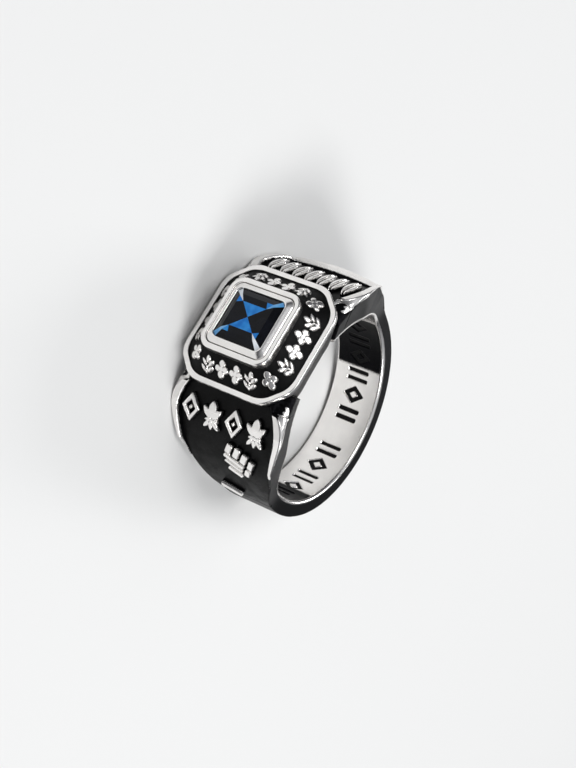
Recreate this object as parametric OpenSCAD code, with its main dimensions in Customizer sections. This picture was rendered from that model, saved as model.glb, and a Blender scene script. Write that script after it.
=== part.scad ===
// Class ring: a cast signet ring with an octagonal head, a square blue stone in a raised
// collar, a sloped ornament border and a recessed field on each shoulder.
// The ring is drawn about its finger hole (X to the head, Y to the near shoulder, Z along
// the finger) and then tipped by rest_tilt, so that it lies flat on its side as it would
// by itself. The origin is the centre of the finger hole.

/* [Band] */
// Radius of the finger hole
bore_r = 9.9; // [9.6:0.1:10]
// Metal thickness at the bottom of the band
band_t = 1.7; // [1.5:0.1:1.8]
// Width of the lower half of the band
band_w = 5.7; // [5.2:0.1:6.2]

/* [Shoulders] */
// Radius of the shoulders' outline, seen along the finger
shoulder_r = 12.3; // [12.1:0.05:12.4]
// How far the centre of that outline lies towards the head
shoulder_x = 1.8; // [1.6:0.05:2]
// Width across the widest part of the shoulders
shoulder_w = 12.8; // [12.4:0.1:13.2]
// Distance of the widest part from the finger axis
bulge_x = 10.95; // [10.8:0.05:11.1]
// Radius of the rounded upper corner of a shoulder
bulge_r = 1.45; // [1.3:0.05:1.6]
// Height above the finger axis where the band starts to widen
flare_x = 0.3; // [-0.5:0.1:1]
// Width of a shoulder's raised border at its widest part
rim_w = 0.9; // [0.8:0.05:1]
// Height above the finger axis where that border runs out
rim_end_x = 5.2; // [4.8:0.1:5.6]
// Height above the finger axis where the field's enamel ends
field_end_x = 0.6; // [0.6:0.1:1.2]
// Depth of the recessed field below the border
field_depth = 0.6; // [0.5:0.05:0.65]
// Width of the opening where a shoulder meets the finger hole
inner_w = 9.9; // [9.6:0.1:10.4]

/* [Head] */
// Height of the head's border above the finger axis
head_x = 13.7; // [13.5:0.1:14]
// Width of the octagonal head
head_w = 12.8; // [12.6:0.1:13]
// Length cut off each corner of the head
head_cut = 2.3; // [2.1:0.1:2.6]
// Width of the head where it meets the finger hole
foot_w = 9.8; // [9.6:0.1:10]
// Width of the head's raised border
head_rim_w = 0.55; // [0.5:0.05:0.7]
// Height of the upright wall around the head's border
head_wall_h = 0.5; // [0.4:0.05:0.7]

/* [Stone] */
// Width of the collar around the stone
collar_w = 7.7; // [7.5:0.1:7.9]
// Height of the collar's outer edge above the head's border
collar_h = 2.25; // [2.1:0.05:2.4]
// Corner radius of the collar
collar_corner = 1.4; // [1.2:0.1:1.5]
// Height of the collar's inner lip above its outer edge
lip_h = 0.3; // [0.2:0.05:0.4]
// Width of the stone
stone_w = 5.2; // [5:0.1:5.4]
// Depth of the stone below its edge
stone_depth = 2.3; // [2:0.1:2.5]

/* [Relief] */
// Width of one figure in the row of four on the near shoulder
figure_w = 2.1; // [1.9:0.1:2.2]
// Height of those figures
figure_h = 3.1; // [2.9:0.1:3.2]
// Height of the seven leaves on the far shoulder
leaf_h = 3.9; // [3.6:0.1:4.1]
// How far the middle of the far shoulder's cross border stands out
cross_rise = 0.4; // [0.2:0.05:0.45]
// Height of the ornaments around the head
border_h = 1.8; // [1.6:0.05:1.9]
// How far the ornaments around the head stand out
border_relief = 0.35; // [0.3:0.05:0.45]
// Thickness of the black enamel
enamel_t = 0.15; // [0.1:0.05:0.2]
// Height of the engraved marks inside the band, along the finger
engraving_w = 2.4; // [2.2:0.1:2.8]

/* [Hidden] */

$fn = 96;
fit = 0.03;
reach = 40;
slack = 0.3;
// Drawings on a shoulder start this far below its outline.
draw_depth = 3;

band_r = bore_r + band_t;
band_half = band_w / 2;
bulge_z = shoulder_w / 2 - bulge_r;
field_r = shoulder_r - field_depth;

// The ring lies on the shoulders' bulge and on the edge of the band opposite the head.
rest_tilt = atan2(shoulder_w / 2 - band_half, bulge_x + band_r);

// Between these angles either side of the head the band is cut back to the waist width.
waist_angle = 18;
waist_half = 4.1;
// Half width of a shoulder where its rims run up to the head.
ear_half = 4.9;
// Half width of a field where it runs up to the head, and the field's rounded upper corner.
neck_half = 4.2;
corner_r = 2.3;
corner = [bulge_x - 0.35, shoulder_w / 2 - rim_w - corner_r];
// The borders sink to the ground between these heights.
fade_x = 8;
fade_end_x = 5;
inner_slope = 0.4;

// The head starts this far inside the finger hole's radius, which is then cut.
head_sink = 1.2;
// The head's octagon: half width, and half distance across its cut corners.
head_half = head_w / 2;
head_diag = (head_w - head_cut) / sqrt(2);
head_low_x = bore_r - head_sink;
head_lean = (head_w - foot_w) / 2 / (head_x - head_wall_h - bore_r);

// The sloped border between the head's rim and the collar.
collar_half = collar_w / 2;
collar_diag = collar_half * sqrt(2) - collar_corner * (sqrt(2) - 1);
slope_drop = 0.35;
collar_wall_h = 1;
slope_low_x = head_x - slope_drop;
slope_top_x = head_x + collar_h - collar_wall_h;
slope_low = head_half - head_rim_w;
slope_low_diag = head_diag - head_rim_w;
slope_lean = (collar_half - slope_low) / (slope_top_x - slope_low_x);
slope_angle = atan(-1 / slope_lean);
slope_mid = (slope_low + collar_half) / 2;
slope_mid_diag = (slope_low_diag + collar_diag) / 2;
slope_mid_x = (slope_low_x + slope_top_x) / 2;

collar_x = head_x + collar_h;
lip_x = collar_x + lip_h;
// Between the collar's outer edge and its lip runs a fine groove.
edge_w = 0.51;
groove_w = 0.09;
groove_depth = 0.1;
groove_half = collar_half - edge_w;
groove_corner = 1;
lip_half = groove_half - groove_w;
lip_corner = 0.9;
// The lip slopes up from its foot to a narrow edge around the stone.
lip_root = 0.2;
lip_foot = 0.25;
lip_edge = 0.15;
stone_half = stone_w / 2;
stone_cut = 0.36;
stone_diag = (stone_w - stone_cut) / sqrt(2);
girdle_x = lip_x - 0.25;
girdle_h = 0.1;
crown_h = 0.4;
pavilion_lean = 0.95;
crown_lean = 1.7;

// Where the ornaments sit: angles about the shoulder's centre, and rows along the finger.
row_angle = 42.5;
row_z = [-4.05, -1.55, 0.95, 3.45];
leaf_angle = 45;
leaf_w = 1.15;
leaf_count = 7;
leaf_step = 1.4;
hand_angle = 61;
hand_z = 1.6;
cuff_angle = 84.5;
cuff_z = -0.3;
hand_turn = -20;
cuff_w = 2.4;
cuff_h = 0.8;
// The far shoulder's cross border: its angle, its width, and where its crown lies.
cross_angle = 66.5;
cross_w = 1;
cross_z = 0.4;
crown_half = 4.6;
// How far the figures' tops lie below the rims.
figure_drop = 0.06;
ring_stroke = 0.45;
fine_stroke = 0.4;

// The border's ornaments: flowers and sprigs by their places along each side. Each cut
// corner has one more flower in its middle.
flower_places = [-0.8, 0.8];
sprig_places = [-2.4, 2.4];
flower_w = 1.5;
sprig_w = 1.4;

// The engraving inside the band: first mark, step and number of marks.
mark_first = 110;
mark_step = 12.5;
mark_count = 13;
mark_w = 1.85;
mark_depth = 0.2;
mark_prism_h = 2;

// The clenched hand as bars, each with its place, width and height: four fingers, the thumb
// across them, the palm's side, its heel and the wrist.
hand_bars = [
    [-1.38, 0.82, 0.76, 1.2],
    [-0.47, 0.95, 0.76, 1.3],
    [0.44, 0.92, 0.76, 1.25],
    [1.32, 0.75, 0.7, 1.1],
    [-0.45, -0.12, 2.5, 0.54],
    [1.28, -0.42, 0.7, 0.96],
    [-0.3, -0.68, 2.2, 0.42],
    [0.1, -1.3, 1.8, 0.54]
];

// Where the enamel of a shoulder's field starts, inside the head.
field_low_y = 4;

// Direction, as an angle, of the line that touches two circles on the same side.
function tangent_angle(c1, r1, c2, r2) = acos((r1 - r2) / (c2.x - c1.x));

function on_circle(c, r, a) = c + r * [cos(a), sin(a)];

// Point where a line from p touches a circle on its upper side.
function touch_point(p, c, r) =
    let (a = atan2(c.y - p.y, c.x - p.x) + asin(r / norm(c - p)))
    c + r * [-sin(a), cos(a)];

// Points round an upper corner, from where a line touches it down to a given width.
function round_corner(c, r, from, to_z) =
    let (a = atan2(from.y - c.y, from.x - c.x), b = asin((to_z - c.y) / r), n = 20)
    [for (i = [0:n]) on_circle(c, r, a + (b - a) * i / n)];

// Distance of a shoulder's outline of radius r from the line to the head, at height x.
function outline_y(r, x) = sqrt(r * r - (x - shoulder_x) * (x - shoulder_x));

function flip(points) = [for (i = [len(points) - 1:-1:0]) [points[i].x, -points[i].y]];

flare_foot = [flare_x, band_half];
flare_touch = touch_point(flare_foot, [bulge_x, bulge_z], bulge_r);
flare_slope = (flare_touch.y - band_half) / (flare_touch.x - flare_x);
rim_end = [rim_end_x, band_half + flare_slope * (rim_end_x - flare_x)];
field_touch = touch_point(rim_end, corner, corner_r);
field_slope = (field_touch.y - rim_end.y) / (field_touch.x - rim_end.x);
fade_y = outline_y(shoulder_r, fade_x);
fade_slope = (outline_y(field_r, fade_end_x) - fade_y) / (fade_x - fade_end_x);

// Two circles on the X axis and the straight lines that touch both.
module belt(c1, r1, c2, r2) {
    a = tangent_angle(c1, r1, c2, r2);
    translate(c1) circle(r1);
    translate(c2) circle(r2);
    polygon([
        on_circle(c1, r1, a),
        on_circle(c1, r1, -a),
        on_circle(c2, r2, -a),
        on_circle(c2, r2, a)
    ]);
}

// The band seen along the finger: the rims' outline, or the lower ground of the fields.
module rim_profile(inset = 0) {
    belt([0, 0], band_r - inset, [shoulder_x, 0], shoulder_r - inset);
}

module ground_profile(inset = 0) {
    belt([0, 0], band_r - inset, [shoulder_x, 0], field_r - inset);
}

// Limit that lets the borders sink to the ground towards the plain band.
module border_fade() {
    side = [for (x = [0, reach]) [x, fade_y + fade_slope * (fade_x - x)]];
    polygon(concat(side, flip(side)));
}

module along_finger(length = reach) {
    translate([0, 0, -length / 2]) linear_extrude(length) children();
}

// A drawing with X to the head and Y along the finger, stretched from shoulder to shoulder.
module across() {
    rotate([90, 0, 0]) translate([0, 0, -reach / 2]) linear_extrude(reach) children();
}

// The band seen from the shoulder: straight below, flaring out to the two bulges.
module plan_outline() {
    side = concat(
        [[-reach, band_half], flare_foot],
        round_corner([bulge_x, bulge_z], bulge_r, flare_touch, ear_half),
        [[reach, ear_half]]
    );
    polygon(concat(side, flip(side)));
}

// The recessed field inside the borders.
module field_outline() {
    side = concat(
        [[field_end_x, rim_end.y + field_slope * (field_end_x - rim_end_x)]],
        round_corner(corner, corner_r, field_touch, neck_half),
        [[reach, neck_half]]
    );
    polygon(concat(side, flip(side)));
}

// Round limit that leans the shoulders' sides in towards the finger hole.
module inner_limit() {
    rotate_extrude() polygon([
        [0, -inner_w / 2],
        [bore_r, -inner_w / 2],
        [bore_r * 2, -inner_w / 2 - bore_r * inner_slope],
        [bore_r * 2, inner_w / 2 + bore_r * inner_slope],
        [bore_r, inner_w / 2],
        [0, inner_w / 2]
    ]);
}

// Space either side of the waist, between the head and the shoulders.
module waist_gap() {
    far = reach / 2;
    wedge = [[0, 0], [far, -far * tan(waist_angle)], [far, far * tan(waist_angle)]];
    for (z = [waist_half, -waist_half - far])
        translate([0, 0, z]) linear_extrude(far) polygon(wedge);
}

// Prism bounded on both sides by two leaning planes; turn is its angle about the X axis.
module slab(x0, half0, x1, half1, turn) {
    rotate([turn, 0, 0]) along_finger()
        polygon([[x0, -half0], [x1, -half1], [x1, half1], [x0, half0]]);
}

// Octagonal block whose half widths change from x0 to x1.
module octagon(x0, half0, diag0, x1, half1, diag1) {
    intersection() {
        slab(x0, half0, x1, half1, 0);
        slab(x0, half0, x1, half1, 90);
        slab(x0, diag0, x1, diag1, 45);
        slab(x0, diag0, x1, diag1, -45);
    }
}

// The same from x0 to x1, for walls that lean by lean for each unit of x and have the
// given half widths at height at.
module leaning_octagon(x0, x1, at, half, diag, lean) {
    octagon(x0, half + lean * (x0 - at), diag + lean * (x0 - at),
        x1, half + lean * (x1 - at), diag + lean * (x1 - at));
}

module upright_octagon(x0, x1, half, diag) {
    octagon(x0, half, diag, x1, half, diag);
}

module rounded_square(half, r) {
    square([2 * half, 2 * (half - r)], center = true);
    square([2 * (half - r), 2 * half], center = true);
    for (x = [r - half, half - r], y = [r - half, half - r]) translate([x, y]) circle(r);
}

// Upright block around the X axis with rounded corners.
module post(x0, x1, half, r) {
    translate([x0, 0, 0]) rotate([0, 90, 0]) linear_extrude(x1 - x0) rounded_square(half, r);
}

// Seats a drawing on a surface: X along the finger, Y up to the head, Z out of the metal.
module seated(at, angle) {
    translate([at.x, at.y, 0]) rotate([0, 0, angle]) rotate([180, -90, 0]) children();
}

module on_shoulder(angle) {
    seated(on_circle([shoulder_x, 0], shoulder_r - draw_depth, angle), angle)
        linear_extrude(draw_depth + 1) children();
}

module on_border(turn, along, mid) {
    rotate([turn, 0, 0]) seated([slope_mid_x, mid], 90 - slope_angle)
        translate([along, 0, 0]) children();
}

// Ornament drawings
module bar(x, y, w, h) {
    translate([x, y]) square([w, h], center = true);
}

module lozenge(w, h) {
    polygon([[-w / 2, 0], [0, h / 2], [w / 2, 0], [0, -h / 2]]);
}

// Lozenge drawn as a line of width s.
module lozenge_ring(w, h, s) {
    inner = 1 - 2 * s * sqrt(1 / (w * w) + 1 / (h * h));
    difference() {
        lozenge(w, h);
        lozenge(w * inner, h * inner);
    }
}

// Lozenge with a smaller one inside it.
module diamond_figure(w, h) {
    lozenge_ring(w, h, ring_stroke);
    lozenge(w * 0.22, h * 0.22);
}

// Lily: three petals above a cross bar and three below it.
module lily_figure(w, h) {
    petal([0, -h * 0.12], [0, h / 2], w * 0.44);
    bar(0, -h * 0.16, w * 0.7, h * 0.12);
    petal([0, -h * 0.16], [0, -h / 2], w * 0.28);
    for (m = [-1, 1]) {
        petal([m * w * 0.02, -h * 0.14], [m * w / 2, h * 0.27], w * 0.34);
        petal([m * w * 0.06, -h * 0.16], [m * w * 0.42, -h * 0.46], w * 0.26);
    }
}

// Pointed leaf with a split down its middle.
module leaf_figure(w, h) {
    split = 0.12;
    for (m = [-1, 1]) polygon([
        [m * split, -h / 2],
        [m * w * 0.38, -h * 0.3],
        [m * w / 2, 0],
        [m * w * 0.36, h * 0.3],
        [m * split, h / 2]
    ]);
}

// Leaf shape from one point to another, widest at its middle.
module petal(from, to, w) {
    along = (to - from) / norm(to - from);
    out = [-along.y, along.x] * w / 2;
    polygon([from, from * 0.7 + to * 0.3 + out * 0.85, from * 0.4 + to * 0.6 + out, to,
        from * 0.4 + to * 0.6 - out, from * 0.7 + to * 0.3 - out * 0.85]);
}

// Flower of four petals around a bead.
module flower_figure(w, h) {
    for (m = [-1, 1]) {
        petal([0, m * 0.12], [0, m * h / 2], w * 0.38);
        petal([m * 0.12, 0], [m * w / 2, 0], w * 0.38);
    }
    circle(w * 0.2, $fn = 8);
}

// Sprig: a stem with a pair of leaves and a tip.
module sprig_figure(w, h) {
    bar(0, -h * 0.28, 0.24, h * 0.44);
    petal([0, h * 0.04], [0, h / 2], w * 0.38);
    for (m = [-1, 1]) {
        petal([m * 0.05, -h * 0.44], [m * w / 2, -h * 0.06], w * 0.28);
        petal([m * 0.05, -h * 0.14], [m * w / 2, h * 0.28], w * 0.28);
    }
}

module hand_figure() {
    for (b = hand_bars) bar(b[0], b[1], b[2], b[3]);
}

// Pair of bars, for the engraving.
module bars_mark(w, h) {
    for (x = [-w / 4, w / 4]) bar(x, 0, fine_stroke, h);
}

module grown(by) {
    if (by > 0) offset(delta = by) children();
    else children();
}

// Raised figures of the near shoulder, of the far shoulder and of the head's border.
module near_figures(by = 0) {
    for (i = [0:3])
        on_shoulder(row_angle) translate([row_z[i], 0]) grown(by) {
            if (i % 2 == 0) diamond_figure(figure_w, figure_h);
            else lily_figure(figure_w, figure_h);
        }
    on_shoulder(hand_angle) translate([hand_z, 0]) rotate(hand_turn)
        grown(by) hand_figure();
    on_shoulder(cuff_angle) translate([cuff_z, 0]) rotate(hand_turn)
        grown(by) bar(0, 0, cuff_w, cuff_h);
}

module far_figures(by = 0) {
    first = -(leaf_count - 1) / 2;
    rotate([180, 0, 0]) for (i = [0:leaf_count - 1])
        on_shoulder(leaf_angle) translate([(first + i) * leaf_step, 0])
            grown(by) leaf_figure(leaf_w, leaf_h);
}

// Border that closes the far field below the leaves.
module cross_bar(by = 0) {
    rotate([180, 0, 0]) on_shoulder(cross_angle) bar(0, 0, shoulder_w, cross_w + 2 * by);
}

// Round limit of the cross border: just under the rims, with a crown in its middle.
module cross_crown() {
    n = 10;
    low = shoulder_r - figure_drop;
    crown = [for (i = [0:n]) let (u = 2 * i / n - 1)
        [low + (cross_rise + figure_drop) * (1 - u * u), cross_z + crown_half * u]];
    rotate([180, 0, 0]) translate([shoulder_x, 0, 0]) rotate_extrude() polygon(concat(
        [[0, -shoulder_w], [low, -shoulder_w]],
        crown,
        [[low, shoulder_w], [0, shoulder_w]]
    ));
}

module border_figure(turn, along, mid) {
    on_border(turn, along, mid) translate([0, 0, -slack])
        linear_extrude(slack + border_relief) children();
}

module border_figures(by = 0) {
    for (turn = [0:90:270]) {
        for (along = flower_places)
            border_figure(turn, along, slope_mid) grown(by) flower_figure(flower_w, border_h);
        for (along = sprig_places)
            border_figure(turn, along, slope_mid) grown(by) sprig_figure(sprig_w, border_h);
        border_figure(turn + 45, 0, slope_mid_diag) grown(by) flower_figure(flower_w, border_h);
    }
}

// Engraved marks, as prisms that pass through the wall of the finger hole.
module engraving_prisms(by = 0) {
    for (i = [0:mark_count - 1])
        rotate([0, 0, mark_first + i * mark_step]) translate([bore_r - mark_prism_h / 2, 0, 0])
            rotate([90, 0, 90]) linear_extrude(mark_prism_h) grown(by) {
                if (i % 2 == 0) lozenge_ring(mark_w, engraving_w, fine_stroke);
                else bars_mark(mark_w, engraving_w);
            }
}

module engraving(by, depth) {
    intersection() {
        engraving_prisms(by);
        along_finger(band_w) circle(bore_r + depth);
    }
}

// The band with its raised shoulder borders, before the finger hole is cut.
module band() {
    difference() {
        intersection() {
            across() plan_outline();
            inner_limit();
            union() {
                along_finger() ground_profile();
                difference() {
                    intersection() {
                        along_finger() rim_profile();
                        along_finger() border_fade();
                    }
                    across() field_outline();
                }
            }
        }
        waist_gap();
        difference() {
            across() field_outline();
            along_finger() ground_profile(enamel_t);
        }
    }
}

// Outside of the head, grown by a margin.
module head_outside(by = 0) {
    intersection() {
        upright_octagon(head_low_x, head_x, head_half + by, head_diag + by);
        leaning_octagon(head_low_x, head_x, head_x - head_wall_h, head_half + by,
            head_diag + by, head_lean);
    }
}

// Slope from the head's rim up to the collar, lifted by a margin.
module slope_block(lift = 0) {
    intersection() {
        upright_octagon(slope_low_x - slack, slope_top_x + lift, slope_low, slope_low_diag);
        leaning_octagon(slope_low_x - slack, slope_top_x + lift, slope_low_x + lift, slope_low,
            slope_low_diag, slope_lean);
    }
}

module head_block() {
    difference() {
        head_outside();
        upright_octagon(slope_low_x, head_x + 1, slope_low, slope_low_diag);
    }
    slope_block();
}

// Raised collar: an outer edge, a fine groove and a lip that rises to the stone.
module collar() {
    difference() {
        post(slope_low_x, collar_x, collar_half, collar_corner);
        difference() {
            post(collar_x - groove_depth, collar_x + slack, groove_half, groove_corner);
            post(collar_x - slack, collar_x + 2 * slack, lip_half, lip_corner);
        }
    }
    intersection() {
        slab(collar_x - lip_root, lip_half + lip_foot, lip_x, stone_half + lip_edge, 0);
        slab(collar_x - lip_root, lip_half + lip_foot, lip_x, stone_half + lip_edge, 90);
        post(collar_x - lip_root, lip_x, lip_half, lip_corner);
    }
}

// Square cut stone with a table, and with eight facets above and eight below its edge.
module stone_shape(by = 0) {
    low = girdle_x - stone_depth;
    top = girdle_x + girdle_h + crown_h;
    half = stone_half + by;
    diag = stone_diag + by;
    intersection() {
        upright_octagon(low, top, half, diag);
        leaning_octagon(low, top, girdle_x, half, diag, pavilion_lean);
        leaning_octagon(low, top, girdle_x + girdle_h, half, diag, -crown_lean);
    }
}

// Parts
module ring_body() {
    color("silver") rotate([0, -rest_tilt, 0]) difference() {
        union() {
            band();
            head_block();
            collar();
            intersection() {
                union() {
                    near_figures();
                    far_figures();
                }
                along_finger() rim_profile(figure_drop);
                across() plan_outline();
            }
            intersection() {
                cross_bar();
                cross_crown();
                across() plan_outline();
            }
            border_figures();
        }
        along_finger() circle(bore_r);
        stone_shape(fit);
        upright_octagon(girdle_x, lip_x + 1, stone_half + fit, stone_diag + fit);
        engraving(0, mark_depth);
    }
}

module stone() {
    color("royalblue") rotate([0, -rest_tilt, 0]) stone_shape();
}

// Black enamel on the slope around the collar.
module head_enamel() {
    color("black") rotate([0, -rest_tilt, 0]) difference() {
        intersection() {
            slope_block(enamel_t / cos(slope_angle));
            upright_octagon(slope_low_x, collar_x, slope_low - fit, slope_low_diag - fit);
        }
        slope_block(fit);
        post(head_x - 1, collar_x, collar_half + fit, collar_corner);
        border_figures(fit);
    }
}

// Black enamel in a shoulder's field; side is 1 for the near one and -1 for the far one.
module field_enamel(side) {
    color("black") rotate([0, -rest_tilt, 0]) difference() {
        intersection() {
            along_finger() ground_profile();
            across() offset(delta = -fit) field_outline();
            across() offset(delta = -fit) plan_outline();
            inner_limit();
            scale([1, side, 1]) translate([0, field_low_y, -reach / 2]) cube([reach, reach, reach]);
        }
        along_finger() ground_profile(enamel_t - fit);
        head_outside(fit);
        if (side > 0) near_figures(fit);
        else {
            far_figures(fit);
            cross_bar(fit);
        }
    }
}

module near_enamel() {
    field_enamel(1);
}

module far_enamel() {
    field_enamel(-1);
}

// Black enamel in the engraved marks inside the band.
module engraving_enamel() {
    color("black") rotate([0, -rest_tilt, 0]) difference() {
        engraving(-fit, mark_depth - fit);
        along_finger() circle(bore_r + fit);
    }
}

ring_body();
stone();
head_enamel();
near_enamel();
far_enamel();
engraving_enamel();
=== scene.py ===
from functools import partial
from math import acos, asin, atan, atan2, cos, pi, radians, sin, sqrt

import bmesh
import bpy
import numpy as np
from bpy.props import FloatProperty, FloatVectorProperty, PointerProperty
from mathutils import Matrix, Vector


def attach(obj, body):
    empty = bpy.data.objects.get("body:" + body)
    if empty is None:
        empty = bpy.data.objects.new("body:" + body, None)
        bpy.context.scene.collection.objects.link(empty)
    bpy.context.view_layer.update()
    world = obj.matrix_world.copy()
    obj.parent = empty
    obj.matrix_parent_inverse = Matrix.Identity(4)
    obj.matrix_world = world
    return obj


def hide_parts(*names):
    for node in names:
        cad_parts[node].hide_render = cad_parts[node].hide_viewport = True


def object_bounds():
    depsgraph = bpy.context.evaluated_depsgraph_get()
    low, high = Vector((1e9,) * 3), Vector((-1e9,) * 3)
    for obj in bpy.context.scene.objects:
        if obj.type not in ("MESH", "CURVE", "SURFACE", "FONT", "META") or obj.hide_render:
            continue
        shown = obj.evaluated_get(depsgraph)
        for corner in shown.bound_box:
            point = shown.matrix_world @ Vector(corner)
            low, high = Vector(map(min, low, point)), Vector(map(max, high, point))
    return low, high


bl_info = {
    "name": "Class ring",
    "version": (1, 0, 0),
    "blender": (4, 5, 0),
    "location": "3D View > Sidebar > Ring",
    "description": "Builds a cast class ring with a square stone, round its measured solids",
    "category": "Object",
}

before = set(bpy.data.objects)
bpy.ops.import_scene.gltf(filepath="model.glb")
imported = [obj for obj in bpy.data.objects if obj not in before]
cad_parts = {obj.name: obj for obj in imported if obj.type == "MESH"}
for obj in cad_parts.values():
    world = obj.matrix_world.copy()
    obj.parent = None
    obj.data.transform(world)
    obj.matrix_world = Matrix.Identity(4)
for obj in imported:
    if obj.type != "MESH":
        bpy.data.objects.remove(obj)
CAD_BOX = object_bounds()
MM = 0.001


class RingSizes(bpy.types.PropertyGroup):
    """Sizes of the ring, in millimetres, about the axis of its finger hole."""

    bore_r: FloatProperty(name="Finger hole", description="Radius of the finger hole", default=9.9)
    band_r: FloatProperty(name="Band", description="Outer radius of the plain band", default=11.6)
    band_w: FloatProperty(name="Band width", description="Width of the plain band", default=5.7)
    shoulder_r: FloatProperty(
        name="Shoulder", description="Radius of the shoulders' outline", default=12.3
    )
    shoulder_x: FloatProperty(
        name="Shoulder centre", description="Place of that outline's centre", default=1.8
    )
    shoulder_w: FloatProperty(
        name="Shoulder width", description="Width at the widest part", default=12.8
    )
    bulge_x: FloatProperty(name="Bulge", description="Height of the widest part", default=10.95)
    bulge_r: FloatProperty(name="Bulge radius", description="Radius of its corner", default=1.45)
    rim_w: FloatProperty(name="Border", description="Width of a shoulder's border", default=0.9)
    field_depth: FloatProperty(name="Field", description="Depth of the field", default=0.6)
    enamel_t: FloatProperty(name="Enamel", description="Thickness of the enamel", default=0.15)
    head_x: FloatProperty(name="Head", description="Height of the head's border", default=13.7)
    head_w: FloatProperty(name="Head width", description="Width of the octagon", default=12.8)
    head_cut: FloatProperty(name="Corner", description="Length cut off a corner", default=2.3)
    collar_w: FloatProperty(name="Collar", description="Width of the collar", default=7.7)
    collar_h: FloatProperty(name="Collar height", description="Height of its edge", default=2.25)
    stone_w: FloatProperty(name="Stone", description="Width of the stone", default=5.2)


class RingColours(bpy.types.PropertyGroup):
    """Colours of the ring's finishes."""

    silver: FloatVectorProperty(
        name="Silver", description="Polished metal", subtype="COLOR", default=(0.94, 0.92, 0.90)
    )
    # Darkened: blackened metal in the hollows, and also the painted shade and painted dark
    # reflection on the bore, the sides, the lower band and under the head
    dark: FloatVectorProperty(
        name="Darkened", description="Blackened metal", subtype="COLOR",
        default=(0.006, 0.006, 0.007)
    )
    enamel: FloatVectorProperty(
        name="Enamel", description="Black enamel", subtype="COLOR", default=(0.002, 0.002, 0.0022)
    )
    floor: FloatVectorProperty(
        name="Floor", description="Studio floor", subtype="COLOR", default=(0.8, 0.8, 0.79)
    )


# Derived sizes

def smooth(low, high, value):
    """Goes softly from 0 at low to 1 at high."""
    t = np.clip((value - low) / (high - low), 0, 1)
    return t * t * (3 - 2 * t)


def soft_min(a, b, k):
    """The smaller of two values, going over softly within about k."""
    return -k * np.logaddexp(-a / k, -b / k)


def folded(theta):
    """Angle from the line to the head, on either side of it."""
    return np.abs((theta + pi) % (2 * pi) - pi)


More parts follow.
